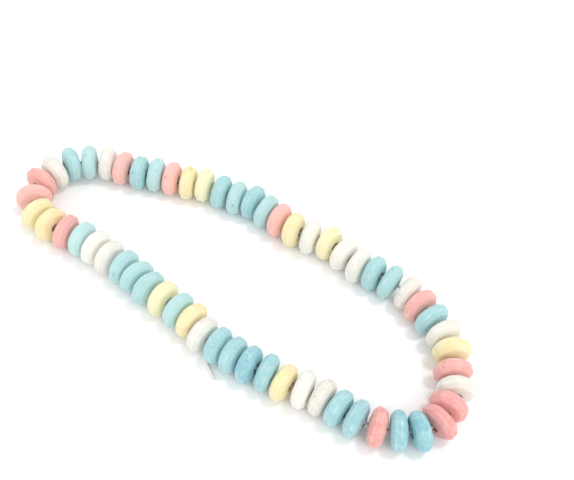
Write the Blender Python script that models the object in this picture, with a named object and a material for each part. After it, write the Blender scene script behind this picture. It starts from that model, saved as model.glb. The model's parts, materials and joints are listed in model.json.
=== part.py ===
"""A candy necklace: pressed sugar beads strung on a white elastic thread, lying in a long oval loop.

Each bead is a short round tablet with a straight rim, sloping shoulders, slightly domed faces and a hole.
It stands on its rim. The thread runs through every hole, is knotted once, and its loose end comes out at
the knot and lies on the table.
"""

import math

import bmesh
import bpy
import numpy as np
from mathutils import Euler, Matrix

MM = 0.001

# Driving sizes of a bead
BEAD_DIAMETER = 10.3 * MM
BEAD_THICKNESS = 4.7 * MM
RIM_WIDTH = 1.6 * MM
SHOULDER_DIAMETER = 8.0 * MM
SHOULDER_THICKNESS = 3.7 * MM
HOLE_DIAMETER = 2.6 * MM
BEAD_SIDES = 16
SHARP_EDGE = math.radians(30)

# Pressed tablets share a die, so only their thickness varies. A few got more or less fill, by bead number
THICKNESS_SPREAD = 0.02
PRESS_SEED = 21
UNUSUAL_FILL = {18: 1.08, 26: 1.15, 55: 1.05, 57: 0.92, 58: 1.18}

# Driving sizes of the elastic thread, its knot and its loose end
THREAD_DIAMETER = 0.8 * MM
THREAD_ROUNDNESS = 1
THREAD_STEPS_PER_BEAD = 2
KNOT_DIAMETER = 1.5 * MM
KNOT_AFTER_BEAD = 42
TAIL_STEP = 0.9 * MM

# The colours in stringing order: b blue, p pink, y yellow, w white
FLAVOURS = "bbwpbbpyyb bbbpywywwb bwpbwypwpp bbpbbwwybb bbwybybbbw wbpyyppw".replace(" ", "")
FLAVOUR_COLOURS = {
    "b": ("blue_candy", (0.41, 0.76, 0.80)),
    "p": ("pink_candy", (0.94, 0.41, 0.39)),
    "y": ("yellow_candy", (0.93, 0.84, 0.46)),
    "w": ("white_candy", (0.88, 0.87, 0.81)),
}

# Where the loop lies: points along it in millimetres, clockwise from above, from the first bead on
LOOP_ROUTE_MM = (
    (-65.0, 9.8), (-60.7, 13.4), (-55.5, 15.6), (-46.0, 17.8), (-36.0, 20.6), (-25.5, 23.3), (-14.0, 24.4),
    (-3.5, 23.8), (6.5, 22.0), (17.0, 22.6), (28.5, 20.3), (38.5, 19.0), (45.2, 17.7), (54.0, 13.0),
    (60.8, 8.3), (65.2, 0.9), (68.0, -6.2), (67.6, -13.8), (64.3, -19.8), (58.3, -23.1), (48.5, -24.4),
    (38.5, -23.7), (27.5, -24.7), (16.5, -24.4), (6.0, -23.2), (-4.5, -20.0), (-16.0, -17.6),
    (-28.0, -14.8), (-41.0, -12.7), (-54.0, -12.9), (-61.6, -10.9), (-66.2, -6.1), (-67.7, 1.0),
)
ROUTE_SAMPLES = 24
NUDGE = 0.5 * MM
STRINGING_PASSES = 6

# What sets single beads apart, by bead number: looser spots in the string (millimetres of room after a
# bead), steps to the left of the route (millimetres), and turns and backward leans (degrees)
LOOSE_AFTER_MM = {
    2: 0.4, 4: 0.3, 7: 0.3, 9: 0.7, 10: 0.2, 14: 0.3, 15: 0.3, 16: 0.5, 17: 0.4, 18: 0.3, 21: 0.8, 24: 0.5,
    26: 0.8, 33: 0.4, 37: 0.2, 42: 0.4, 45: 0.6, 46: 0.4, 49: 0.6, 50: 0.5, 52: 0.4, 54: 0.5, 55: 0.7,
}
STEP_LEFT_MM = {
    3: 0.3, 4: -0.2, 5: -0.4, 6: 0.2, 8: -0.3, 9: 0.3, 10: -0.3, 11: -0.3, 12: 0.8, 15: -0.2, 16: -0.3,
    17: 0.1, 18: -0.2, 19: -0.8, 20: -0.3, 22: 0.2, 27: -0.4, 28: 0.3, 29: -0.5, 31: -0.3, 32: -0.6,
    36: -0.3, 37: -0.3, 39: -0.4, 43: 0.3, 44: -0.3, 47: 0.3, 50: 0.4, 51: 0.2,
}
TURN_DEG = {
    3: 4, 9: 2, 10: 4, 12: -3, 13: 8, 14: 6, 15: 5, 17: -8, 18: 3, 19: 4, 20: -4, 22: 6, 27: 3, 28: 6,
    34: -4, 35: -4, 36: -5, 37: -3, 38: -8, 39: 5, 42: 4, 43: 6, 44: 6, 47: -3, 48: -6, 53: 3, 54: -6, 55: 8,
    56: 6, 57: -9, 58: -4,
}
LEAN_DEG = {
    1: -6, 6: -4, 12: 3, 13: -4, 14: 4, 15: 7, 17: 6, 20: 5, 21: -7, 22: -4, 23: 5, 24: -3, 30: -9, 31: -5,
    32: -7, 39: 5, 40: -3, 41: -4, 42: -4, 43: 5, 46: -4, 53: 7, 54: -4, 58: 4,
}

# The loose end, in millimetres from the foot of the knot: outwards, back along the string, and up. It
# drops between two beads and then lies on the table.
TAIL_ROUTE_MM = (
    (0.0, 0.0, 5.0), (0.1, 0.0, 3.4), (0.8, 0.0, 1.6), (1.9, 0.3, 0.6), (3.3, 1.4, 0.42), (4.5, 3.4, 0.42),
    (5.4, 5.2, 0.42), (6.3, 7.3, 0.42),
)


def clear_scene():
    """Removes whatever the scene holds."""
    for obj in list(bpy.data.objects):
        bpy.data.objects.remove(obj, do_unlink=True)


def candy_material(name, colour, roughness=0.55):
    """A plain Principled material in one colour."""
    material = bpy.data.materials.new(name)
    material.use_nodes = True
    shader = material.node_tree.nodes["Principled BSDF"]
    shader.inputs["Base Color"].default_value = (*colour, 1.0)
    shader.inputs["Roughness"].default_value = roughness
    shader.inputs["Metallic"].default_value = 0.0
    material.diffuse_color = (*colour, 1.0)
    return material


def smooth_curve(points, closed):
    """A Catmull-Rom curve through the points, sampled densely, as an array of points."""
    points = np.asarray(points, dtype=float)
    if closed:
        padded = np.vstack([points[-1:], points, points[:2]])
    else:
        padded = np.vstack([2 * points[0] - points[1], points, 2 * points[-1] - points[-2]])
    t = np.linspace(0.0, 1.0, ROUTE_SAMPLES, endpoint=False)[:, None]
    spans = []
    for p0, p1, p2, p3 in zip(padded, padded[1:], padded[2:], padded[3:]):
        bend = 2 * p0 - 5 * p1 + 4 * p2 - p3
        twist = 3 * p1 - p0 - 3 * p2 + p3
        spans.append(p1 + 0.5 * ((p2 - p0) * t + bend * t**2 + twist * t**3))
    return np.vstack([*spans, padded[-2:-1]])


def along(curve, distances):
    """The points at the given distances along a sampled curve."""
    steps = np.linalg.norm(np.diff(curve, axis=0), axis=1)
    travelled = np.concatenate([[0.0], np.cumsum(steps)])
    return np.column_stack([np.interp(distances, travelled, axis) for axis in curve.T])


def length_of(curve):
    """The length of a sampled curve."""
    return float(np.linalg.norm(np.diff(curve, axis=0), axis=1).sum())


def half_section():
    """The corners of a bead's half section, as radius and height, from the hole out to the rim."""
    return (
        (0.5 * HOLE_DIAMETER, 0.5 * BEAD_THICKNESS),
        (0.5 * SHOULDER_DIAMETER, 0.5 * SHOULDER_THICKNESS),
        (0.5 * BEAD_DIAMETER, 0.5 * RIM_WIDTH),
    )


def touching_distance(centres, turns, leans, thickness):
    """The centre distance at which each bead just touches the next, for the angle between the two."""
    axes = np.column_stack([np.cos(turns) * np.cos(leans), np.sin(turns) * np.cos(leans), np.sin(leans)])
    following = np.roll(axes, -1, axis=0)
    half_angle = 0.5 * np.arccos(np.clip(np.sum(axes * following, axis=1), -1.0, 1.0))
    reach = 0.0
    for share in (thickness, np.roll(thickness, -1)):
        corners = [share * x * np.cos(half_angle) + r * np.sin(half_angle) for r, x in half_section()]
        reach = reach + np.max(corners, axis=0)
    # Two beads part along the line midway between their holes, not along the line between centres
    middle = axes[:, :2] + following[:, :2]
    apart = np.roll(centres, -1, axis=0) - centres
    slant = np.sum(middle * apart, axis=1) / np.linalg.norm(middle, axis=1) / np.linalg.norm(apart, axis=1)
    return reach / slant


def per_bead(values, unit, usual=0.0):
    """A table by bead number as an array with a value for every bead."""
    return np.array([values.get(number, usual) * unit for number in range(1, len(FLAVOURS) + 1)])


def bead_thickness():
    """Each bead's thickness as a share of the usual one."""
    spread = np.random.default_rng(PRESS_SEED).uniform(-THICKNESS_SPREAD, THICKNESS_SPREAD, len(FLAVOURS))
    return per_bead(UNUSUAL_FILL, 1.0, usual=1.0) * (1.0 + spread)


def bead_places(thickness):
    """Each bead's centre, turn and lean, strung along the loop with even gaps apart from the looser spots."""
    loop = smooth_curve(LOOP_ROUTE_MM, closed=True) * MM
    length = length_of(loop)
    loose = per_bead(LOOSE_AFTER_MM, MM)
    leans = per_bead(LEAN_DEG, math.radians(1.0))
    pitch = np.full(len(FLAVOURS), length / len(FLAVOURS))
    for _ in range(STRINGING_PASSES):
        stations = np.cumsum(pitch) - pitch
        ahead = along(loop, stations + NUDGE) - along(loop, stations)
        left = np.column_stack([-ahead[:, 1], ahead[:, 0]]) / NUDGE
        centres = along(loop, stations) + left * per_bead(STEP_LEFT_MM, MM)[:, None]
        chords = np.roll(centres, -1, axis=0) - np.roll(centres, 1, axis=0)
        turns = np.arctan2(chords[:, 1], chords[:, 0]) + per_bead(TURN_DEG, math.radians(1.0))
        # The route is a little longer than the straight lines from bead to bead
        detour = pitch / np.linalg.norm(np.roll(centres, -1, axis=0) - centres, axis=1)
        taken = touching_distance(centres, turns, leans, thickness) + loose
        gap = (length - np.sum(taken * detour)) / np.sum(detour)
        pitch = (taken + gap) * detour
    # A leaning bead stands on one edge of its rim
    heights = 0.5 * BEAD_DIAMETER * np.cos(leans) + 0.5 * RIM_WIDTH * np.abs(np.sin(leans))
    return np.column_stack([centres, heights]), turns, leans


def bead_mesh(name, material):
    """A bead turned about its own Z axis from the closed outline of its section."""
    outward = half_section()
    section = [*outward, *((radius, -height) for radius, height in reversed(outward))]
    bm = bmesh.new()
    corners = [bm.verts.new((radius, 0.0, height)) for radius, height in section]
    edges = [bm.edges.new(pair) for pair in zip(corners, corners[1:] + corners[:1])]
    bmesh.ops.spin(
        bm,
        geom=corners + edges,
        cent=(0, 0, 0),
        axis=(0, 0, 1),
        angle=2 * math.pi,
        steps=BEAD_SIDES,
        use_merge=True,
    )
    bmesh.ops.recalc_face_normals(bm, faces=bm.faces)
    mesh = bpy.data.meshes.new(name)
    bm.to_mesh(mesh)
    bm.free()
    mesh.shade_smooth()
    mesh.set_sharp_from_angle(angle=SHARP_EDGE)
    mesh.materials.append(material)
    return mesh


def string_beads(centres, turns, leans, thickness, parent):
    """One object for each bead, standing on its rim across the thread."""
    meshes = {
        letter: bead_mesh(name, candy_material(name, colour))
        for letter, (name, colour) in FLAVOUR_COLOURS.items()
    }
    # The bead's own Z, its hole, is laid along +X first, then leant and turned
    lay_down = Matrix(((0, 0, 1), (1, 0, 0), (0, 1, 0))).to_4x4()
    for number, (centre, turn, lean) in enumerate(zip(centres, turns, leans), start=1):
        bead = bpy.data.objects.new(f"bead_{number:02d}", meshes[FLAVOURS[number - 1]])
        turned = Euler((0.0, -lean, turn), "XYZ").to_matrix().to_4x4() @ lay_down
        bead.rotation_euler = turned.to_euler()
        bead.location = centre
        bead.scale.z = thickness[number - 1]
        bead.parent = parent
        bpy.context.scene.collection.objects.link(bead)


def thread_tube(name, points, closed):
    """A round tube along the points, as a mesh, with filled ends where it is open."""
    curve = bpy.data.curves.new(name, "CURVE")
    curve.dimensions = "3D"
    curve.bevel_depth = 0.5 * THREAD_DIAMETER
    curve.bevel_resolution = THREAD_ROUNDNESS
    curve.use_fill_caps = not closed
    spline = curve.splines.new("POLY")
    spline.points.add(len(points) - 1)
    spline.points.foreach_set("co", np.column_stack([points, np.ones(len(points))]).ravel())
    spline.use_cyclic_u = closed
    guide = bpy.data.objects.new(name, curve)
    bpy.context.scene.collection.objects.link(guide)
    mesh = bpy.data.meshes.new_from_object(guide)
    bpy.data.objects.remove(guide, do_unlink=True)
    bpy.data.curves.remove(curve)
    return mesh


def knot_mesh(centre):
    """A small round lump where the thread is tied."""
    bm = bmesh.new()
    bmesh.ops.create_icosphere(bm, subdivisions=2, radius=0.5 * KNOT_DIAMETER)
    bmesh.ops.translate(bm, verts=bm.verts, vec=centre)
    mesh = bpy.data.meshes.new("knot")
    bm.to_mesh(mesh)
    bm.free()
    return mesh


def join_by_union(body, mesh, name, parent):
    """Fuses a second mesh to the body with a Boolean union, kept as a hidden guide."""
    guide = bpy.data.objects.new(name, mesh)
    guide.hide_render = True
    guide.display_type = "WIRE"
    guide.parent = parent
    bpy.context.scene.collection.objects.link(guide)
    union = body.modifiers.new(name, "BOOLEAN")
    union.operation = "UNION"
    union.solver = "EXACT"
    union.object = guide


def tail_route(centres):
    """The loose end's route, which starts at the knot, midway between the two beads beside it."""
    before, after = centres[KNOT_AFTER_BEAD - 1], centres[KNOT_AFTER_BEAD]
    foot = 0.5 * (before + after) * (1.0, 1.0, 0.0)
    back = (before - after) * (1.0, 1.0, 0.0) / np.linalg.norm((before - after)[:2])
    outwards = np.array([back[1], -back[0], 0.0])
    directions = np.array([outwards, back, (0.0, 0.0, 1.0)])
    return foot + np.array(TAIL_ROUTE_MM) * MM @ directions


def thread_beads(centres, parent):
    """The elastic thread: a closed loop through every hole, its knot and its loose end."""
    loop = smooth_curve(centres, closed=True)
    count = THREAD_STEPS_PER_BEAD * len(centres)
    points = along(loop, np.linspace(0.0, length_of(loop), count, endpoint=False))
    mesh = thread_tube("thread_loop", points, closed=True)
    mesh.materials.append(candy_material("white_elastic", (0.86, 0.86, 0.84), roughness=0.8))
    thread = bpy.data.objects.new("thread", mesh)
    thread.parent = parent
    bpy.context.scene.collection.objects.link(thread)

    tail = smooth_curve(tail_route(centres), closed=False)
    tail_points = along(tail, np.arange(0.0, length_of(tail), TAIL_STEP))
    join_by_union(thread, knot_mesh(tail[0]), "knot", parent)
    join_by_union(thread, thread_tube("loose_end", tail_points, closed=False), "loose_end", parent)


def centre_on_origin(parent):
    """Moves the necklace so that the middle of its box stands on the origin."""
    bpy.context.view_layer.update()
    corners = np.vstack(
        [
            np.array([obj.matrix_world @ vertex.co for vertex in obj.data.vertices])
            for obj in parent.children
        ]
    )
    low, high = corners.min(axis=0), corners.max(axis=0)
    parent.location = (-0.5 * (low[0] + high[0]), -0.5 * (low[1] + high[1]), -low[2])
    bpy.context.view_layer.update()


def main():
    """Builds the whole necklace."""
    clear_scene()
    necklace = bpy.data.objects.new("necklace", None)
    bpy.context.scene.collection.objects.link(necklace)
    thickness = bead_thickness()
    centres, turns, leans = bead_places(thickness)
    string_beads(centres, turns, leans, thickness, necklace)
    thread_beads(centres, necklace)
    centre_on_origin(necklace)


main()
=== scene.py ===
"""The looks of a candy necklace: pressed sugar beads on a white elastic thread, lying in a long oval loop.

Every bead of the CAD frame gets a finely turned and slightly worn tablet in its place, coloured after its
slot in the record. The thread gets its wound cover, its knot and its cut end. Lengths are in metres.
"""

import json
import logging
import math
from dataclasses import dataclass, field
from enum import Enum

import bpy
import numpy as np
from mathutils import Matrix, Vector


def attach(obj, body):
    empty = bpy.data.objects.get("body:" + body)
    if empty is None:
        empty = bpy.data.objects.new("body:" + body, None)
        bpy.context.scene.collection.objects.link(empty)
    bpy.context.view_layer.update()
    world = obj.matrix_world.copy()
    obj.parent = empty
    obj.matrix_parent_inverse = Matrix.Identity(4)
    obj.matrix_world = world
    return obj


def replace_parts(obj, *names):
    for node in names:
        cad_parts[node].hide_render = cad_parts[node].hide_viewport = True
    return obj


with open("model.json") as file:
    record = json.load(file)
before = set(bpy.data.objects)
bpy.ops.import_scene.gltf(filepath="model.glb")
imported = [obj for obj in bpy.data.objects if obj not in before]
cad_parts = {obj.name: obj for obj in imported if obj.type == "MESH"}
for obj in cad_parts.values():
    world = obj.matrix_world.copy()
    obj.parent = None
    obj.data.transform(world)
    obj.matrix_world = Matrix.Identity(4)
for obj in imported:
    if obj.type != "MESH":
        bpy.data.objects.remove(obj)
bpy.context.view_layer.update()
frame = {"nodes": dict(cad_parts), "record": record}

MM = 0.001
BODY = "root"
log = logging.getLogger("candy_necklace")

Array = np.ndarray
Node = bpy.types.Node


class Flavour(Enum):
    """The four candies on the string, each named by its slot in the record."""

    BLUE = "blue_candy"
    PINK = "pink_candy"
    YELLOW = "yellow_candy"
    WHITE = "white_candy"


class Trait(Enum):
    """What a bead's mesh carries for its material, one number for each vertex."""

    # Each bead's tint: its dye, and painted shade on the beads made darker where the light falls off
    TINT_AND_SHADE = "tint_and_shade"
    POLISH = "polish"
    WEAR = "wear"
    # Painted shade: down in a bead's chips and pits, and in the thread's grooves and all along its loop
    PAINTED_SHADE = "hollow"
    BAND = "band"


def linear(hex_colour: str) -> tuple[float, float, float, float]:
    """Turns an sRGB colour into the linear one that shaders use.

    Args:
        hex_colour: The colour as six hex digits, with or without a leading mark.

    Returns:
        Red, green and blue from 0 to 1, and an alpha of 1.
    """
    digits = hex_colour.lstrip("#")
    shares = [int(digits[k : k + 2], 16) / 255 for k in (0, 2, 4)]
    return (*(s / 12.92 if s <= 0.04045 else ((s + 0.055) / 1.055) ** 2.4 for s in shares), 1.0)


def add_node(tree: bpy.types.NodeTree, kind: str, sockets: dict | None = None, **settings: object) -> Node:
    """Adds one node with its settings, socket values and links.

    Args:
        tree: The node tree that gets the node.
        kind: Blender's name for the node's class.
        sockets: An output to link from, or a plain value, for each input by name or number.
        settings: Values of the node's own properties.

    Returns:
        The new node.
    """
    node = tree.nodes.new(kind)
    for name, value in settings.items():
        setattr(node, name, value)
    for key, value in (sockets or {}).items():
        if isinstance(value, bpy.types.NodeSocket):
            tree.links.new(value, node.inputs[key])
        else:
            node.inputs[key].default_value = value
    return node


def ripples(
    points: Array,
    size: float,
    rng: np.random.Generator,
    count: int = 24,
    spread: tuple[float, float] = (0.65, 1.6),
) -> Array:
    """Smooth noise: the scaled sum of plane waves in random directions, with lengths round one size.

    Args:
        points: Places as rows of x, y and z.
        size: The usual wavelength.
        rng: The seeded source of directions, lengths and phases.
        count: How many waves are summed.
        spread: The shortest and the longest wavelength, as shares of the usual one.

    Returns:
        One value for each place, mostly between -1.5 and 1.5, with a mean of about 0.
    """
    directions = rng.normal(size=(count, 3))
    directions /= np.linalg.norm(directions, axis=1, keepdims=True)
    waves = directions * (2 * math.pi / (size * rng.uniform(*spread, (count, 1))))
    phases = rng.uniform(0, 2 * math.pi, count)
    return np.sin(points @ waves.T + phases).sum(axis=1) * math.sqrt(1.0 / count)


def grid_faces(rows: int, columns: int, rows_close: bool) -> Array:
    """The quads of a grid whose columns always close round, and whose rows may close too.

    Args:
        rows: How many rows of vertices the grid has.
        columns: How many vertices a row has.
        rows_close: Whether the last row joins the first one.

    Returns:
        Four vertex numbers for each quad.
    """
    row, column = np.meshgrid(np.arange(rows if rows_close else rows - 1), np.arange(columns), indexing="ij")
    next_row, next_column = (row + 1) % rows, (column + 1) % columns
    corners = [row * columns + column, row * columns + next_column]
    corners += [next_row * columns + next_column, next_row * columns + column]
    return np.stack(corners, axis=-1).reshape(-1, 4)


def smooth_curve(points: Array, closed: bool, samples: int = 48) -> Array:
    """A smooth curve through points: on each span, the cubic whose ends slope as their neighbours' chord.

    Args:
        points: The points that the curve passes, as rows.
        closed: Whether the last point joins the first one.
        samples: Steps on each span.

    Returns:
        The sampled curve, whose last point repeats the first one when it is closed.
    """
    points = np.asarray(points, dtype=float)
    if closed:
        padded = np.vstack([points[-1:], points, points[:2]])
    else:
        padded = np.vstack([2 * points[0] - points[1], points, 2 * points[-1] - points[-2]])
    p0, p1, p2, p3 = (padded[k : len(padded) - 3 + k, None, :] for k in range(4))
    t = np.linspace(0.0, 1.0, samples, endpoint=False)[None, :, None]
    bend = 2 * p0 - 5 * p1 + 4 * p2 - p3
    twist = 3 * p1 - p0 - 3 * p2 + p3
    spans = p1 + 0.5 * ((p2 - p0) * t + bend * t**2 + twist * t**3)
    return np.vstack([spans.reshape(-1, 3), padded[-2]])


def evenly_along(curve: Array, step: float, closed: bool) -> tuple[Array, float]:
    """Places an even step apart along a sampled curve.

    Args:
        curve: The curve as rows of points.
        step: The wanted distance between places, which is made to fit the length.
        closed: Whether the curve ends where it starts, so that its end isn't repeated.

    Returns:
        The places, and the curve's length.
    """
    travelled = np.concatenate([[0.0], np.cumsum(np.linalg.norm(np.diff(curve, axis=0), axis=1))])
    length = float(travelled[-1])
    count = round(length / step)
    stations = np.linspace(0.0, length, count + (0 if closed else 1), endpoint=not closed)
    return np.column_stack([np.interp(stations, travelled, axis) for axis in curve.T]), length


def make_piece(
    name: str,
    vertices: Array,
    faces: list[list[int]],
    material: bpy.types.Material,
    traits: dict[Trait, Array],
) -> bpy.types.Object:
    """Makes a smooth-shaded mesh object at the origin, with its place in its vertices.

    Args:
        name: The piece's name.
        vertices: Places as rows of x, y and z.
        faces: Vertex numbers of each face, turning left round its outside.
        material: The finish.
        traits: What the finish reads from the mesh, as one number for each vertex.

    Returns:
        The object, linked to the scene and riding on the necklace's body.
    """
    mesh = bpy.data.meshes.new(name)
    mesh.from_pydata(vertices, [], faces)
    mesh.materials.append(material)
    for trait, values in traits.items():
        attribute = mesh.attributes.new(trait.value, "FLOAT", "POINT")
        attribute.data.foreach_set("value", values.astype(np.float32))
    mesh.shade_smooth()
    mesh.update()
    piece = bpy.data.objects.new(name, mesh)
    bpy.context.scene.collection.objects.link(piece)
    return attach(piece, BODY)


@dataclass(frozen=True)
class PressedDextrose:
    """Dextrose tablet: milled dextrose with a food dye and a little stearate, pressed hard in a steel die.

    The eye gets a chalky pastel that is cloudy in patches where the dye took unevenly, a faint satin where
    the die wall rubbed the band, a smoother skin on the beads that the die polished, and paler powder on
    rubbed edges. The tint from low to high is partly the dye and partly painted shade, and the darker,
    stronger colour down in the chips and pits is painted shade.
    """

    flavour: Flavour
    # From low to high by each bead's tint, which is partly the dye and partly painted shade
    low: str
    high: str
    cloud: str
    powder: str
    # Painted shade: the colour down in the chips and pits
    deep: str
    roughness: float = 0.72
    face_roughening: float = 0.04
    band_smoothing: float = -0.1
    polish_smoothing: float = -0.42
    uneven_span: tuple[float, float] = (0.3, 0.7)
    uneven_roughness: tuple[float, float] = (-0.05, 0.07)
    cloud_size: float = 2.4 * MM
    cloud_span: tuple[float, float] = (0.42, 0.66)
    cloud_share: float = 0.55
    fleck_size: float = 0.7 * MM
    fleck_span: tuple[float, float] = (0.60, 0.78)
    fleck_share: float = 0.5
    grain_size: float = 0.22 * MM
    grain_height: float = 0.02 * MM
    grain_strength: float = 0.5
    refraction: float = 1.5
    scatter: float = 0.6
    scatter_depth: float = 1.0 * MM
    scatter_colour: tuple[float, float, float] = (1.0, 0.8, 0.7)

    def build(self) -> bpy.types.Material:
        """Builds the node tree: a ground colour with five layers over it, and a roughness with two changes.

        Returns:
            The material, which reads the five traits of a bead's mesh.
        """
        material = bpy.data.materials.new(f"pressed_dextrose_{self.flavour.value}")
        material.use_nodes = True
        tree = material.node_tree
        shader = tree.nodes["Principled BSDF"]
        place = add_node(tree, "ShaderNodeTexCoord").outputs["Object"]
        trait, noise, mapped = {}, {}, {}
        for kind in Trait:
            trait[kind] = add_node(tree, "ShaderNodeAttribute", attribute_name=kind.value).outputs["Fac"]
        for name, size, detail in (
            ("cloud", self.cloud_size, 3.0),
            ("fleck", self.fleck_size, 2.0),
            ("grain", self.grain_size, 2.0),
        ):
            sockets = {"Vector": place, "Scale": 1.0 / size, "Detail": detail}
            noise[name] = add_node(tree, "ShaderNodeTexNoise", sockets=sockets).outputs[0]

        # Each value is mapped linearly from one span onto another, and is held at the ends
        face, band = self.roughness + self.face_roughening, self.roughness + self.band_smoothing
        for name, value, span, onto in (
            ("cloud", noise["cloud"], self.cloud_span, (0.0, self.cloud_share)),
            ("fleck", noise["fleck"], self.fleck_span, (0.0, self.fleck_share)),
            ("satin", trait[Trait.BAND], (0.0, 1.0), (face, band)),
            ("uneven", noise["fleck"], self.uneven_span, self.uneven_roughness),
            ("polish", trait[Trait.POLISH], (0.0, 1.0), (0.0, self.polish_smoothing)),
        ):
            sockets = {0: value, 1: span[0], 2: span[1], 3: onto[0], 4: onto[1]}
            mapped[name] = add_node(tree, "ShaderNodeMapRange", sockets=sockets).outputs[0]

        colour = linear(self.low)
        for share, over in (
            # The tint from low to high: dye, and painted shade on the beads made darker
            (trait[Trait.TINT_AND_SHADE], self.high),
            (mapped["cloud"], self.cloud),
            (mapped["fleck"], self.powder),
            # Painted shade down in the chips and pits
            (trait[Trait.PAINTED_SHADE], self.deep),
            (trait[Trait.WEAR], self.powder),
        ):
            sockets = {0: share, 6: colour, 7: linear(over)}
            colour = add_node(tree, "ShaderNodeMix", data_type="RGBA", sockets=sockets).outputs[2]
        tree.links.new(colour, shader.inputs["Base Color"])

        rough = mapped["satin"]
        for change in (mapped["uneven"], mapped["polish"]):
            sockets = {0: rough, 1: change}
            rough = add_node(tree, "ShaderNodeMath", operation="ADD", sockets=sockets).outputs[0]
        tree.links.new(rough, shader.inputs["Roughness"])

        sockets = {"Height": noise["grain"], "Strength": self.grain_strength, "Distance": self.grain_height}
        bump = add_node(tree, "ShaderNodeBump", sockets=sockets)
        tree.links.new(bump.outputs[0], shader.inputs["Normal"])
        shader.inputs["IOR"].default_value = self.refraction
        shader.inputs["Subsurface Weight"].default_value = self.scatter
        shader.inputs["Subsurface Radius"].default_value = self.scatter_colour
        shader.inputs["Subsurface Scale"].default_value = self.scatter_depth
        return material


@dataclass(frozen=True)
class CoveredElastic:
    """Covered elastic: a rubber core wound with fluffy white polyester yarn.

    The eye gets a matt off-white with fine slanted turns and a soft nap. The grey is painted shade: down
    between the turns, and all along the loop, where it runs through the holes and the slits between the
    beads.
    """

    yarn: str = "#F3F1EA"
    # The grey between is painted shade: down between the turns and all along the loop
    between: str = "#A9A69E"
    roughness: float = 0.85
    sheen: float = 0.3
    sheen_roughness: float = 0.5
    nap_size: float = 0.12 * MM
    nap_height: float = 0.03 * MM
    nap_strength: float = 0.6

    def build(self) -> bpy.types.Material:
        """Builds the node tree.

        Returns:
            The material, which reads each vertex's painted shade: how far it lies down between two turns of
            yarn, and more all along the loop.
        """
        material = bpy.data.materials.new("white_covered_elastic")
        material.use_nodes = True
        tree = material.node_tree
        shader = tree.nodes["Principled BSDF"]
        place = add_node(tree, "ShaderNodeTexCoord").outputs["Object"]
        groove = add_node(tree, "ShaderNodeAttribute", attribute_name=Trait.PAINTED_SHADE.value).outputs["Fac"]
        sockets = {"Vector": place, "Scale": 1.0 / self.nap_size, "Detail": 2.0}
        nap = add_node(tree, "ShaderNodeTexNoise", sockets=sockets).outputs[0]
        # Painted shade: grey down in the grooves, and all along the loop through the beads
        sockets = {0: groove, 6: linear(self.yarn), 7: linear(self.between)}
        wound = add_node(tree, "ShaderNodeMix", data_type="RGBA", sockets=sockets)
        tree.links.new(wound.outputs[2], shader.inputs["Base Color"])
        sockets = {"Height": nap, "Strength": self.nap_strength, "Distance": self.nap_height}
        bump = add_node(tree, "ShaderNodeBump", sockets=sockets)
        tree.links.new(bump.outputs[0], shader.inputs["Normal"])
        shader.inputs["Roughness"].default_value = self.roughness
        shader.inputs["Sheen Weight"].default_value = self.sheen
        shader.inputs["Sheen Roughness"].default_value = self.sheen_roughness
        return material


@dataclass(frozen=True)
class Outline:
    """A bead's section: hole wall, sloping face, shoulder and straight rim band, with rounded corners.

    The sizes are those of a bead of the usual thickness. A thinner or thicker one has its heights scaled.
    The thickness and the outer diameter come from each bead's CAD solid.
    """

    usual_half: float = 2.35 * MM
    hole_radius: float = 1.3 * MM
    shoulder_radius: float = 4.0 * MM
    shoulder_drop: float = 0.5 * MM
    band_width: float = 1.6 * MM
    hole_rounding: float = 0.3 * MM
    shoulder_rounding: float = 0.8 * MM
    edge_rounding: float = 0.12 * MM
    row_step: float = 0.29 * MM
    arc_steps: int = 4

    def corners(self, radius: float, half_thickness: float) -> tuple[Array, Array]:
        """The section's corners in turning order, from the hole's lower edge outwards and up.

        Args:
            radius: The bead's outer radius.
            half_thickness: Half the bead's thickness at its hole.

        Returns:
            The corners as rows of radius and height, and the rounding of each.
        """
        share = half_thickness / self.usual_half
        upper = np.array(
            [
                (radius, 0.5 * share * self.band_width),
                (self.shoulder_radius, half_thickness - share * self.shoulder_drop),
                (self.hole_radius, half_thickness),
            ]
        )
        lower = upper[::-1] * (1.0, -1.0)
        roundings = np.array([self.edge_rounding, self.shoulder_rounding, self.hole_rounding])
        return np.vstack([lower, upper]), np.concatenate([roundings[::-1], roundings])

    def rows(self, radius: float, half_thickness: float) -> Array:
        """The rounded section, ready to be turned about the bead's axis.

        Each corner becomes the arc that touches both its sides, and each side is cut into even steps.

        Args:
            radius: The bead's outer radius.
            half_thickness: Half the bead's thickness at its hole.

        Returns:
            The closed section as rows of radius and height.
        """
        corners, roundings = self.corners(radius, half_thickness)
        arcs = []
        for before, corner, after, rounding in zip(
            np.roll(corners, 1, axis=0), corners, np.roll(corners, -1, axis=0), roundings
        ):
            inwards = (corner - before) / np.linalg.norm(corner - before)
            outwards = (after - corner) / np.linalg.norm(after - corner)
            turn = math.acos(float(np.clip(inwards @ outwards, -1.0, 1.0)))
            bisector = (outwards - inwards) / np.linalg.norm(outwards - inwards)
            centre = corner + bisector * rounding / math.cos(0.5 * turn)
            angles = np.linspace(-0.5 * turn, 0.5 * turn, self.arc_steps + 1)[:, None]
            along = (inwards + outwards) / np.linalg.norm(inwards + outwards)
            arcs.append(centre + rounding * (-bisector * np.cos(angles) + along * np.sin(angles)))
        pieces = []
        for arc, following in zip(arcs, arcs[1:] + arcs[:1]):
            steps = max(1, round(float(np.linalg.norm(following[0] - arc[-1])) / self.row_step))
            run = np.linspace(arc[-1], following[0], steps, endpoint=False)
            pieces += [arc[:-1], run]
        return np.vstack(pieces)


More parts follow.
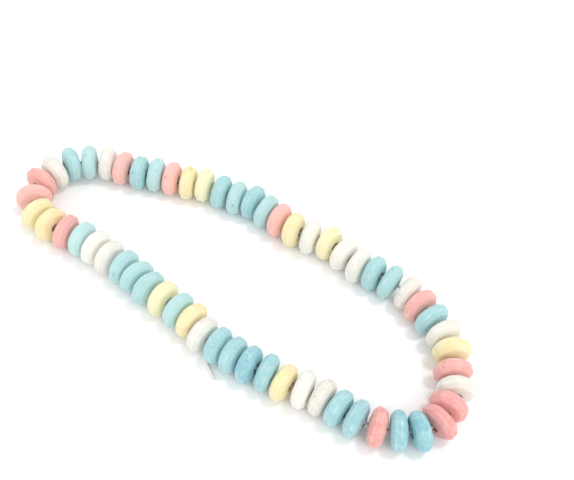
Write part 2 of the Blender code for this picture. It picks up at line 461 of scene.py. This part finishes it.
@dataclass(frozen=True)
class Place:
    """Where a bead's CAD solid is: its centre, its axes with the hole's last, and its half sizes."""

    centre: Array
    axes: Array
    radius: float
    half_thickness: float

    @classmethod
    def of_node(cls, node: str) -> "Place":
        """Measures a CAD bead: its axis is the direction in which its corners spread least.

        Args:
            node: The bead's CAD node.

        Returns:
            The bead's place.
        """
        mesh = frame["nodes"][node].data
        corners = np.empty(3 * len(mesh.vertices))
        mesh.vertices.foreach_get("co", corners)
        corners = corners.reshape(-1, 3)
        axis = np.linalg.svd(corners - corners.mean(axis=0), full_matrices=False)[2][-1]
        side = np.cross((0.0, 0.0, 1.0), axis)
        side /= np.linalg.norm(side)
        up = np.cross(axis, side)
        axes = np.array([side, up, axis])
        local = corners @ axes.T
        middle = 0.5 * (local.min(axis=0) + local.max(axis=0))
        radius = float(np.linalg.norm((local - middle)[:, :2], axis=1).max())
        return cls(middle @ axes, axes, radius, 0.5 * float(np.ptp(local[:, 2])))


@dataclass
class Tablet:
    """One pressed bead with its own small unevenness, rubbed edges, chips and pits.

    Its surface is the outline turned about the hole, pushed in along its normals by smooth noise and by
    round hollows. The swell is how far each face stands out from the CAD solid's face, so that neighbours
    all but touch. The bead's number is part of its seed, so that each is different and stays the same. A
    pair of sizes is the range of a random share, and a chip or a pit is round with a ragged edge.
    """

    node: str
    number: int
    outline: Outline
    material: bpy.types.Material
    # The bead's tint from low to high: its dye, and painted shade where the light falls off
    tint_and_shade: float
    polish: float
    columns: int = 112
    swell: float = 0.095 * MM
    lump: float = 0.035 * MM
    lump_size: float = 7.0 * MM
    lump_sink: float = 0.8
    grain: float = 0.008 * MM
    grain_size: float = 1.1 * MM
    grain_waves: int = 40
    rub: float = 0.03 * MM
    rub_size: float = 2.6 * MM
    rub_reach: float = 0.32 * MM
    rub_everywhere: float = 0.35
    rub_in_places: float = 0.65
    rub_most: float = 1.5
    chips: int = 3
    chip_depth: float = 0.16 * MM
    chip_depths: tuple[float, float] = (0.3, 1.0)
    chip_length: float = 0.6 * MM
    chip_lengths: tuple[float, float] = (0.55, 1.25)
    pits: int = 4
    pit_depth: float = 0.07 * MM
    pit_depths: tuple[float, float] = (0.4, 1.0)
    pit_width: float = 0.24 * MM
    pit_widths: tuple[float, float] = (0.6, 1.5)
    ragged: float = 0.3
    ragged_size: float = 0.6 * MM
    powdered: float = 0.4
    powdered_most: float = 0.8
    band_reach: float = 0.25 * MM
    press_seed: int = 407
    place: Place = field(init=False)
    rng: np.random.Generator = field(init=False)

    def __post_init__(self) -> None:
        """Measures the CAD solid and seeds the bead's own random draws."""
        self.place = Place.of_node(self.node)
        self.rng = np.random.default_rng([self.press_seed, self.number])

    def turned(self) -> tuple[Array, Array, Array]:
        """The even bead before wear, in its own axes.

        A point is (radius cos angle, radius sin angle, height), and its normal is the outline's normal
        turned by the same angle.

        Returns:
            The vertices, their normals, and each vertex's distance from the nearer edge of the band.
        """
        section = self.outline.rows(self.place.radius, self.place.half_thickness + self.swell)
        ahead = np.roll(section, -1, axis=0) - np.roll(section, 1, axis=0)
        ahead /= np.linalg.norm(ahead, axis=1, keepdims=True)
        angles = np.linspace(0.0, 2 * math.pi, self.columns, endpoint=False)
        cosines, sines = np.cos(angles)[None, :], np.sin(angles)[None, :]
        radius, height = section[:, :1], section[:, 1:]
        flat = np.ones_like(cosines)
        vertices = np.stack([radius * cosines, radius * sines, height * flat], axis=-1)
        outward, upward = ahead[:, 1:], -ahead[:, :1]
        normals = np.stack([outward * cosines, outward * sines, upward * flat], axis=-1)
        edge = np.array([self.place.radius, 0.5 * self.outline.band_width])
        from_edge = np.linalg.norm(np.abs(section) - edge, axis=1)
        return vertices.reshape(-1, 3), normals.reshape(-1, 3), np.repeat(from_edge, self.columns)

    def hollows(self, vertices: Array, centres: Array, widths: Array, depths: Array) -> Array:
        """How deep round hollows are at each vertex: depth times (1 - (distance / width)^2)^2 inside one.

        The distance is stretched by smooth noise, so that a hollow's edge is ragged.

        Args:
            vertices: The bead's vertices.
            centres: The middles of the hollows.
            widths: The radius of each.
            depths: The depth of each.

        Returns:
            The deepest hollow's depth at each vertex.
        """
        ragged = 1.0 + self.ragged * ripples(vertices, self.ragged_size, self.rng)
        apart = np.linalg.norm(vertices[:, None, :] - centres[None, :, :], axis=2) * ragged[:, None]
        return (depths * np.clip(1.0 - (apart / widths) ** 2, 0.0, 1.0) ** 2).max(axis=1)

    def chip_places(self) -> Array:
        """Draws places on the two edges of the band.

        Returns:
            The places as rows.
        """
        angles = self.rng.uniform(0.0, 2 * math.pi, self.chips)
        sides = self.rng.choice([-1.0, 1.0], self.chips)
        radius, heights = self.place.radius, sides * 0.5 * self.outline.band_width
        return np.column_stack([radius * np.cos(angles), radius * np.sin(angles), heights])

    def build(self) -> bpy.types.Object:
        """Builds the bead's piece, which replaces its CAD node.

        Returns:
            The finished piece.
        """
        vertices, normals, from_edge = self.turned()
        rng = self.rng
        lumps = self.lump * (ripples(vertices, self.lump_size, rng) - self.lump_sink)
        grain = self.grain * ripples(vertices, self.grain_size, rng, count=self.grain_waves)
        near_edge = np.exp(-((from_edge / self.rub_reach) ** 2))
        rub_share = self.rub_everywhere + self.rub_in_places * ripples(vertices, self.rub_size, rng)
        rubbed = near_edge * np.clip(rub_share, 0.0, self.rub_most)

        lengths = self.chip_length * rng.uniform(*self.chip_lengths, self.chips)
        places = self.chip_places()
        depths = self.chip_depth * rng.uniform(*self.chip_depths, self.chips)
        chips = self.hollows(vertices, places, lengths, depths)
        middles = vertices[rng.integers(0, len(vertices), self.pits)]
        widths = self.pit_width * rng.uniform(*self.pit_widths, self.pits)
        depths = self.pit_depth * rng.uniform(*self.pit_depths, self.pits)
        pits = self.hollows(vertices, middles, widths, depths)

        # The lumps only ever sink, so that no bead outgrows the even one
        push = np.minimum(lumps + grain, 0.0) - self.rub * rubbed - chips - pits
        worn = vertices + normals * push[:, None]
        inside = self.place.radius - np.hypot(*vertices.T[:2])
        traits = {
            # The tint, which carries painted shade as well as the dye
            Trait.TINT_AND_SHADE: np.full(len(vertices), self.tint_and_shade),
            Trait.POLISH: np.full(len(vertices), self.polish),
            Trait.WEAR: np.clip(self.powdered * rubbed, 0.0, self.powdered_most),
            # Painted shade down in the chips and pits
            Trait.PAINTED_SHADE: np.clip((chips + pits) / self.chip_depth, 0.0, 1.0),
            Trait.BAND: np.clip(1.0 - inside / self.band_reach, 0.0, 1.0),
        }
        faces = grid_faces(len(vertices) // self.columns, self.columns, rows_close=True).tolist()
        placed = worn @ self.place.axes + self.place.centre
        piece = make_piece(self.node + "_candy", placed, faces, self.material, traits)
        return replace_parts(piece, self.node)


@dataclass
class ElasticThread:
    """The wound elastic thread: the closed loop through the holes, its knot and its loose end.

    Along the whole loop the yarn is painted as grey as a groove to a fixed share, as painted shade for the
    holes and the dark slits between the beads. The fray's fibres stand on a ring whose radius is the share
    fibre_ring of the diameter, and start fibre_root back inside the yarn. A pair of sizes is the range of a
    random share.
    """

    bead_centres: Array
    material: bpy.types.Material
    node: str = "thread"
    slot: str = "white_elastic"
    diameter: float = 0.8 * MM
    sides: int = 18
    ring_step: float = 0.16 * MM
    strands: int = 3
    wrap_pitch: float = 1.3 * MM
    wrap_depth: float = 0.05 * MM
    knot_after_bead: int = 42
    knot_diameter: float = 1.5 * MM
    knot_strand: float = 0.5 * MM
    knot_steps: int = 120
    end_narrowing: float = 0.8
    fray_start: float = 1.0 * MM
    fray_seed: int = 12
    fibres: int = 9
    fibre_steps: int = 8
    fibre_diameter: float = 0.07 * MM
    fibre_root: float = 0.3 * MM
    fibre_ring: float = 0.3
    fibre_length: float = 0.9 * MM
    fibre_lengths: tuple[float, float] = (0.5, 1.0)
    fibre_lifts: tuple[float, float] = (0.4, 1.3)
    # The share of a groove's grey that the loop is painted all along, as painted shade in the holes and
    # slits
    loop_shade: float = 0.8
    tail_reference: tuple[float, float, float] = (-0.6, 0.8, 0.0)
    # The loose end from the knot's foot, as in the CAD source: outwards, back along the string, and up
    tail_route: tuple[tuple[float, float, float], ...] = (
        (0.0, 0.0, 0.0050), (0.0001, 0.0, 0.0034), (0.0008, 0.0, 0.0016), (0.0019, 0.0003, 0.0006),
        (0.0033, 0.0014, 0.00042), (0.0045, 0.0034, 0.00042), (0.0054, 0.0052, 0.00042),
        (0.0063, 0.0073, 0.00042),
    )

    def tail_axes(self) -> tuple[Array, Array]:
        """Where the loose end starts: between the beads on both sides of the knot.

        Returns:
            The knot's foot on the table, and the directions outwards, back along the string and up.
        """
        before, after = self.bead_centres[self.knot_after_bead - 1], self.bead_centres[self.knot_after_bead]
        level = np.array([1.0, 1.0, 0.0])
        back = (before - after) * level / np.linalg.norm((before - after)[:2])
        return 0.5 * (before + after) * level, np.array([(back[1], -back[0], 0.0), back, (0.0, 0.0, 1.0)])

    def tube(
        self, path: Array, reference: Array, closed: bool, radius: float, wound: bool
    ) -> tuple[Array, list[list[int]], Array]:
        """A tube along a path, whose skin rises and falls with the turns of the yarn.

        A ring's vertex lies radius - depth * groove^2 from the path, where the groove is
        1 - |cos(strands / 2 * (angle - twist))|, so that the turns are round and the grooves sharp. The
        ring's axes are the reference crossed with the path's direction, and that direction crossed with
        the first axis.

        Args:
            path: The points that the tube follows.
            reference: A direction, or one for each point, never along the path.
            closed: Whether the tube ends where it starts.
            radius: The tube's outer radius.
            wound: Whether the tube shows turns of yarn.

        Returns:
            Vertices, faces, and how deep in a groove each vertex lies, from 0 to 1.
        """
        ahead = np.roll(path, -1, axis=0) - np.roll(path, 1, axis=0) if closed else np.gradient(path, axis=0)
        ahead /= np.linalg.norm(ahead, axis=1, keepdims=True)
        side = np.cross(np.broadcast_to(reference, path.shape), ahead)
        side /= np.linalg.norm(side, axis=1, keepdims=True)
        up = np.cross(ahead, side)
        rings = len(path)
        travelled = np.linalg.norm(np.diff(path, axis=0), axis=1).sum()
        turns = round(travelled / self.wrap_pitch)
        twist = 2 * math.pi * turns * np.arange(rings)[:, None] / (rings if closed else rings - 1)
        angles = np.linspace(0.0, 2 * math.pi, self.sides, endpoint=False)[None, :]
        groove = 1.0 - np.abs(np.cos(0.5 * self.strands * (angles - twist)))
        if not wound:
            groove = np.zeros_like(groove)
        reach = radius - self.wrap_depth * groove**2
        if not closed:
            shut = np.ones(rings)
            shut[0] = shut[-1] = self.end_narrowing
            reach = reach * shut[:, None]
        skin = side[:, None, :] * np.cos(angles)[..., None] + up[:, None, :] * np.sin(angles)[..., None]
        vertices = (path[:, None, :] + reach[..., None] * skin).reshape(-1, 3)
        faces = grid_faces(rings, self.sides, closed).tolist()
        if not closed:
            ring = np.arange(self.sides)
            faces += [ring[::-1].tolist(), (ring + (rings - 1) * self.sides).tolist()]
        return vertices, faces, groove.ravel() ** 2

    def finish(self, name: str, vertices: Array, faces: list[list[int]], groove: Array) -> bpy.types.Object:
        """Makes a piece of the thread, with its grooves' and loop's painted shade as a trait.

        Args:
            name: The piece's name.
            vertices: Places as rows.
            faces: Vertex numbers of each face.
            groove: How much painted shade each vertex gets: how deep it lies in a groove, and more along the
                loop.

        Returns:
            The piece.
        """
        piece = make_piece(name, vertices, faces, self.material, {Trait.PAINTED_SHADE: groove})
        return piece

    def build_loop(self) -> bpy.types.Object:
        """Builds the closed loop, on the smooth curve through the middles of all the beads.

        Returns:
            The piece, which replaces the thread's CAD node.
        """
        path, length = evenly_along(smooth_curve(self.bead_centres, True), self.ring_step, True)
        log.info("thread loop: %.1f mm long", length / MM)
        vertices, faces, groove = self.tube(path, np.array([0.0, 0.0, 1.0]), True, 0.5 * self.diameter, True)
        # Painted shade: the whole loop gets at least that share of a groove's grey
        loop_shaded = np.maximum(groove, self.loop_shade)
        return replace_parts(self.finish("thread_loop", vertices, faces, loop_shaded), self.node)

    def build_knot(self) -> bpy.types.Object:
        """Builds the knot, a trefoil drawn tight: (sin t + 2 sin 2t, cos t - 2 cos 2t, -sin 3t), 6 wide.

        Returns:
            The piece.
        """
        foot, axes = self.tail_axes()
        t = np.linspace(0.0, 2 * math.pi, self.knot_steps, endpoint=False)
        outwards, upwards = np.sin(t) + 2 * np.sin(2 * t), np.cos(t) - 2 * np.cos(2 * t)
        trefoil = np.column_stack([outwards, upwards, -np.sin(3 * t)])
        path = trefoil * (self.knot_diameter - self.knot_strand) / 6 @ axes[[0, 2, 1]]
        vertices, faces, groove = self.tube(path, path, True, 0.5 * self.knot_strand, True)
        return self.finish("thread_knot", vertices + (foot + self.tail_route[0] @ axes), faces, groove)

    def loose_end_path(self) -> Array:
        """The loose end's path from the knot down to the table and up to where its fray starts.

        Returns:
            The path's points as rows.
        """
        foot, axes = self.tail_axes()
        route = foot + np.array(self.tail_route) @ axes
        path, length = evenly_along(smooth_curve(route, False), self.ring_step, False)
        log.info("loose end: %.1f mm long with its fray", length / MM)
        return path[: -round(self.fray_start / self.ring_step)]

    def build_loose_end(self) -> bpy.types.Object:
        """Builds the loose end, which drops from the knot between two beads and lies on the table.

        Returns:
            The piece.
        """
        reference = np.array(self.tail_reference) @ self.tail_axes()[1]
        tube = self.tube(self.loose_end_path(), reference, False, 0.5 * self.diameter, True)
        return self.finish("thread_loose_end", *tube)

    def build_fray(self) -> bpy.types.Object:
        """Builds the cut yarn's fibres, thin curved tubes that spread from the loose end's tip.

        A fibre's path is ahead * reach * s + out * lift * s^2, from a place on a small ring round the yarn.

        Returns:
            The piece.
        """
        before_tip, tip = self.loose_end_path()[-2:]
        ahead = (tip - before_tip) / np.linalg.norm(tip - before_tip)
        up = np.array([0.0, 0.0, 1.0])
        side = np.cross(ahead, up)
        rng = np.random.default_rng(self.fray_seed)
        vertices, faces, groove = [], [], []
        s = np.linspace(0.0, 1.0, self.fibre_steps)[:, None]
        for turn in 2 * math.pi * np.arange(self.fibres) / self.fibres:
            out = self.fibre_ring * self.diameter * (side * math.cos(turn) + up * math.sin(turn))
            reach = self.fibre_length * rng.uniform(*self.fibre_lengths)
            lift = rng.uniform(*self.fibre_lifts)
            path = tip - self.fibre_root * ahead + out + ahead * reach * s + out * lift * s**2
            path[:, 2] = np.maximum(path[:, 2], self.fibre_diameter)
            tube = self.tube(path, side + 2 * up, False, 0.5 * self.fibre_diameter, False)
            start = sum(len(v) for v in vertices)
            vertices.append(tube[0])
            faces += [[start + corner for corner in face] for face in tube[1]]
            groove.append(tube[2])
        return self.finish("thread_fray", np.vstack(vertices), faces, np.concatenate(groove))

    def build(self) -> list[bpy.types.Object]:
        """Builds the loop, the knot, the loose end and its fray, and returns the pieces."""
        return [self.build_loop(), self.build_knot(), self.build_loose_end(), self.build_fray()]


@dataclass
class Necklace:
    """The whole necklace: its beads in stringing order, and the thread through them."""

    outline: Outline = field(default_factory=Outline)
    # Each finish: low, high, cloud, powder and deep, where low and deep also carry painted shade
    finishes: tuple[PressedDextrose, ...] = (
        PressedDextrose(Flavour.BLUE, "#88BBC6", "#BAD9D6", "#B0D3D4", "#CAE3E3", "#7CAEB8"),
        PressedDextrose(Flavour.PINK, "#DC9A96", "#EFBFB6", "#E8B7B0", "#F3D0CB", "#CC827D"),
        PressedDextrose(Flavour.YELLOW, "#E7D7A4", "#EBE6C0", "#EAE1BE", "#F3EDD4", "#D6C286"),
        PressedDextrose(Flavour.WHITE, "#DAD6CC", "#EAE9E3", "#E8E6DF", "#F0EEE8", "#CCC5B9"),
    )
    elastic: CoveredElastic = field(default_factory=CoveredElastic)
    # Beads, by number, that stand apart: the tint from low to high, which is the dye's and also painted
    # shade, low on most beads from 29 to 40 where the light falls off, and those with a polished skin
    tints_and_shade: dict[int, float] = field(
        default_factory=lambda: {
            1: 0.6, 2: 0.9, 4: 0.9, 5: 0.5, 6: 0.9, 7: 0.9, 9: 1.0, 10: 0.5, 11: 0.8, 12: 0.4, 13: 0.8,
            14: 0.8, 20: 0.5, 21: 0.6, 22: 0.2, 23: 0.5, 24: 0.5, 25: 0.3, 26: 0.3, 27: 0.4, 28: 0.3,
            29: 0.2, 30: 0.0, 31: 0.0, 32: 0.1, 33: 0.1, 34: 0.3, 35: 0.4, 36: 0.0, 38: 0.1, 39: 0.3,
            40: 0.1, 41: 0.4, 42: 0.4, 43: 0.3, 44: 0.3, 45: 0.8, 46: 0.7, 49: 0.7, 52: 1.0, 53: 0.4,
            54: 0.2, 57: 0.4,
        }
    )
    polished: dict[int, float] = field(
        default_factory=lambda: {1: 0.3, 2: 0.4, 34: 1.0, 36: 0.5, 38: 0.6, 39: 0.3}
    )
    usual_tint: tuple[float, float] = (0.2, 0.8)
    tint_seed: int = 58

    def build_beads(self) -> None:
        """Builds a tablet for every bead of the record, in its slot's finish."""
        materials = {finish.flavour: finish.build() for finish in self.finishes}
        rows = [row for row in frame["record"]["subparts"] if row["node"].startswith("bead_")]
        usual_tints = np.random.default_rng(self.tint_seed).uniform(*self.usual_tint, len(rows))
        for number, (row, usual_tint) in enumerate(zip(rows, usual_tints), start=1):
            flavour = Flavour(row["material_slot"])
            # The tint carries the dye and painted shade
            tint_and_shade, polish = self.tints_and_shade.get(number, usual_tint), self.polished.get(number, 0.0)
            piece = Tablet(row["node"], number, self.outline, materials[flavour], tint_and_shade, polish).build()
            log.info("%s: %s, %d vertices", piece.name, flavour.value, len(piece.data.vertices))

    def build_thread(self) -> None:
        """Builds the thread through the middles of all the beads."""
        names = sorted(name for name in frame["nodes"] if name.startswith("bead_"))
        centres = np.array([Place.of_node(name).centre for name in names])
        for piece in ElasticThread(centres, self.elastic.build()).build():
            log.info("%s: %d vertices", piece.name, len(piece.data.vertices))

    def build(self) -> None:
        """Builds the beads and the thread."""
        self.build_beads()
        self.build_thread()


@dataclass(frozen=True)
class SeamlessPaper:
    """Seamless background paper: heavy uncoated white paper, dead matt, with a barely felt tooth."""

    colour: str = "#F7F7F7"
    roughness: float = 0.9
    specular: float = 0.2
    tooth_size: float = 0.6 * MM
    tooth_height: float = 0.02 * MM
    tooth_strength: float = 0.1

    def build(self) -> bpy.types.Material:
        """Builds the node tree.

        Returns:
            The material.
        """
        material = bpy.data.materials.new("seamless_white_paper")
        material.use_nodes = True
        tree = material.node_tree
        shader = tree.nodes["Principled BSDF"]
        place = add_node(tree, "ShaderNodeTexCoord").outputs["Object"]
        sockets = {"Vector": place, "Scale": 1.0 / self.tooth_size}
        tooth = add_node(tree, "ShaderNodeTexNoise", sockets=sockets).outputs[0]
        sockets = {"Height": tooth, "Strength": self.tooth_strength, "Distance": self.tooth_height}
        bump = add_node(tree, "ShaderNodeBump", sockets=sockets)
        tree.links.new(bump.outputs[0], shader.inputs["Normal"])
        shader.inputs["Base Color"].default_value = linear(self.colour)
        shader.inputs["Roughness"].default_value = self.roughness
        shader.inputs["Specular IOR Level"].default_value = self.specular
        return material


@dataclass(frozen=True)
class SoftBox:
    """A square studio light: where it hangs from the middle of the table, its side and its power."""

    name: str
    direction: tuple[float, float, float]
    distance: float
    side: float
    power: float
    colour: str = "#FFFFFF"

    def build(self) -> None:
        """Hangs the light and turns it to the table's middle."""
        light = bpy.data.lights.new(self.name, "AREA")
        light.shape = "SQUARE"
        light.size = self.side
        light.energy = self.power
        light.color = linear(self.colour)[:3]
        holder = bpy.data.objects.new(self.name, light)
        towards = Vector(self.direction).normalized()
        holder.location = towards * self.distance
        holder.rotation_euler = towards.to_track_quat("Z", "Y").to_euler()
        bpy.context.scene.collection.objects.link(holder)


@dataclass(frozen=True)
class Studio:
    """A white table top under a high key light, a weaker fill and side light, and pale surroundings."""

    table_side: float = 6.0
    surroundings: str = "#FFFFFF"
    surroundings_strength: float = 0.91
    lights: tuple[SoftBox, ...] = (
        SoftBox("key_light", (0.87, 0.48, 2.75), 1.4, 0.2, 4.2),
        SoftBox("fill_light", (-0.75, -0.5, 0.6), 0.4, 0.2, 0.24),
        SoftBox("side_light", (0.9, -0.55, 0.9), 0.7, 0.35, 1.1),
    )

    def build(self) -> None:
        """Lays the table, hangs the lights and sets the surroundings."""
        half = 0.5 * self.table_side
        corners = [(-half, -half, 0.0), (half, -half, 0.0), (half, half, 0.0), (-half, half, 0.0)]
        mesh = bpy.data.meshes.new("table")
        mesh.from_pydata(corners, [], [(0, 1, 2, 3)])
        mesh.materials.append(SeamlessPaper().build())
        table = bpy.data.objects.new("table", mesh)
        bpy.context.scene.collection.objects.link(table)
        for light in self.lights:
            light.build()
        world = bpy.data.worlds.new("surroundings")
        world.use_nodes = True
        background = world.node_tree.nodes["Background"]
        background.inputs["Color"].default_value = linear(self.surroundings)
        background.inputs["Strength"].default_value = self.surroundings_strength
        bpy.context.scene.world = world
        bpy.context.scene.view_settings.view_transform = "Standard"


@dataclass(frozen=True)
class ProductCamera:
    """The photograph's camera, which looks down on the table from the front right.

    It is placed by the point on the table that the middle of the image shows, its distance from there, its
    height angle, its turn about the upright (from looking along +Y towards -X) and its roll.
    """

    aim: tuple[float, float, float] = (0.0045, 0.02171, 0.0)
    distance: float = 0.2584
    elevation: float = math.radians(50.0)
    azimuth: float = math.radians(25.0)
    roll: float = math.radians(4.74)
    sensor_width: float = 36.0
    focal_length: float = 54.37
    nearest_seen: float = 0.01

    def build(self) -> None:
        """Makes the camera and gives it to the scene."""
        camera = bpy.data.cameras.new("product_camera")
        camera.sensor_fit = "HORIZONTAL"
        camera.sensor_width = self.sensor_width
        camera.lens = self.focal_length
        camera.clip_start = self.nearest_seen
        holder = bpy.data.objects.new("product_camera", camera)
        level = math.cos(self.elevation)
        sine, cosine = math.sin(self.azimuth), math.cos(self.azimuth)
        back = Vector((sine * level, -cosine * level, math.sin(self.elevation)))
        right = Vector((cosine, sine, 0.0))
        right = math.cos(self.roll) * right + math.sin(self.roll) * back.cross(right)
        turn = Matrix((right, back.cross(right), back)).transposed().to_4x4()
        holder.matrix_world = Matrix.Translation(Vector(self.aim) + back * self.distance) @ turn
        bpy.context.scene.collection.objects.link(holder)
        bpy.context.scene.camera = holder


def main() -> None:
    """Builds the necklace, the studio and the camera."""
    logging.basicConfig(level=logging.INFO, format="%(name)s: %(message)s")
    Necklace().build()
    Studio().build()
    ProductCamera().build()


if __name__ == "__main__":
    main()
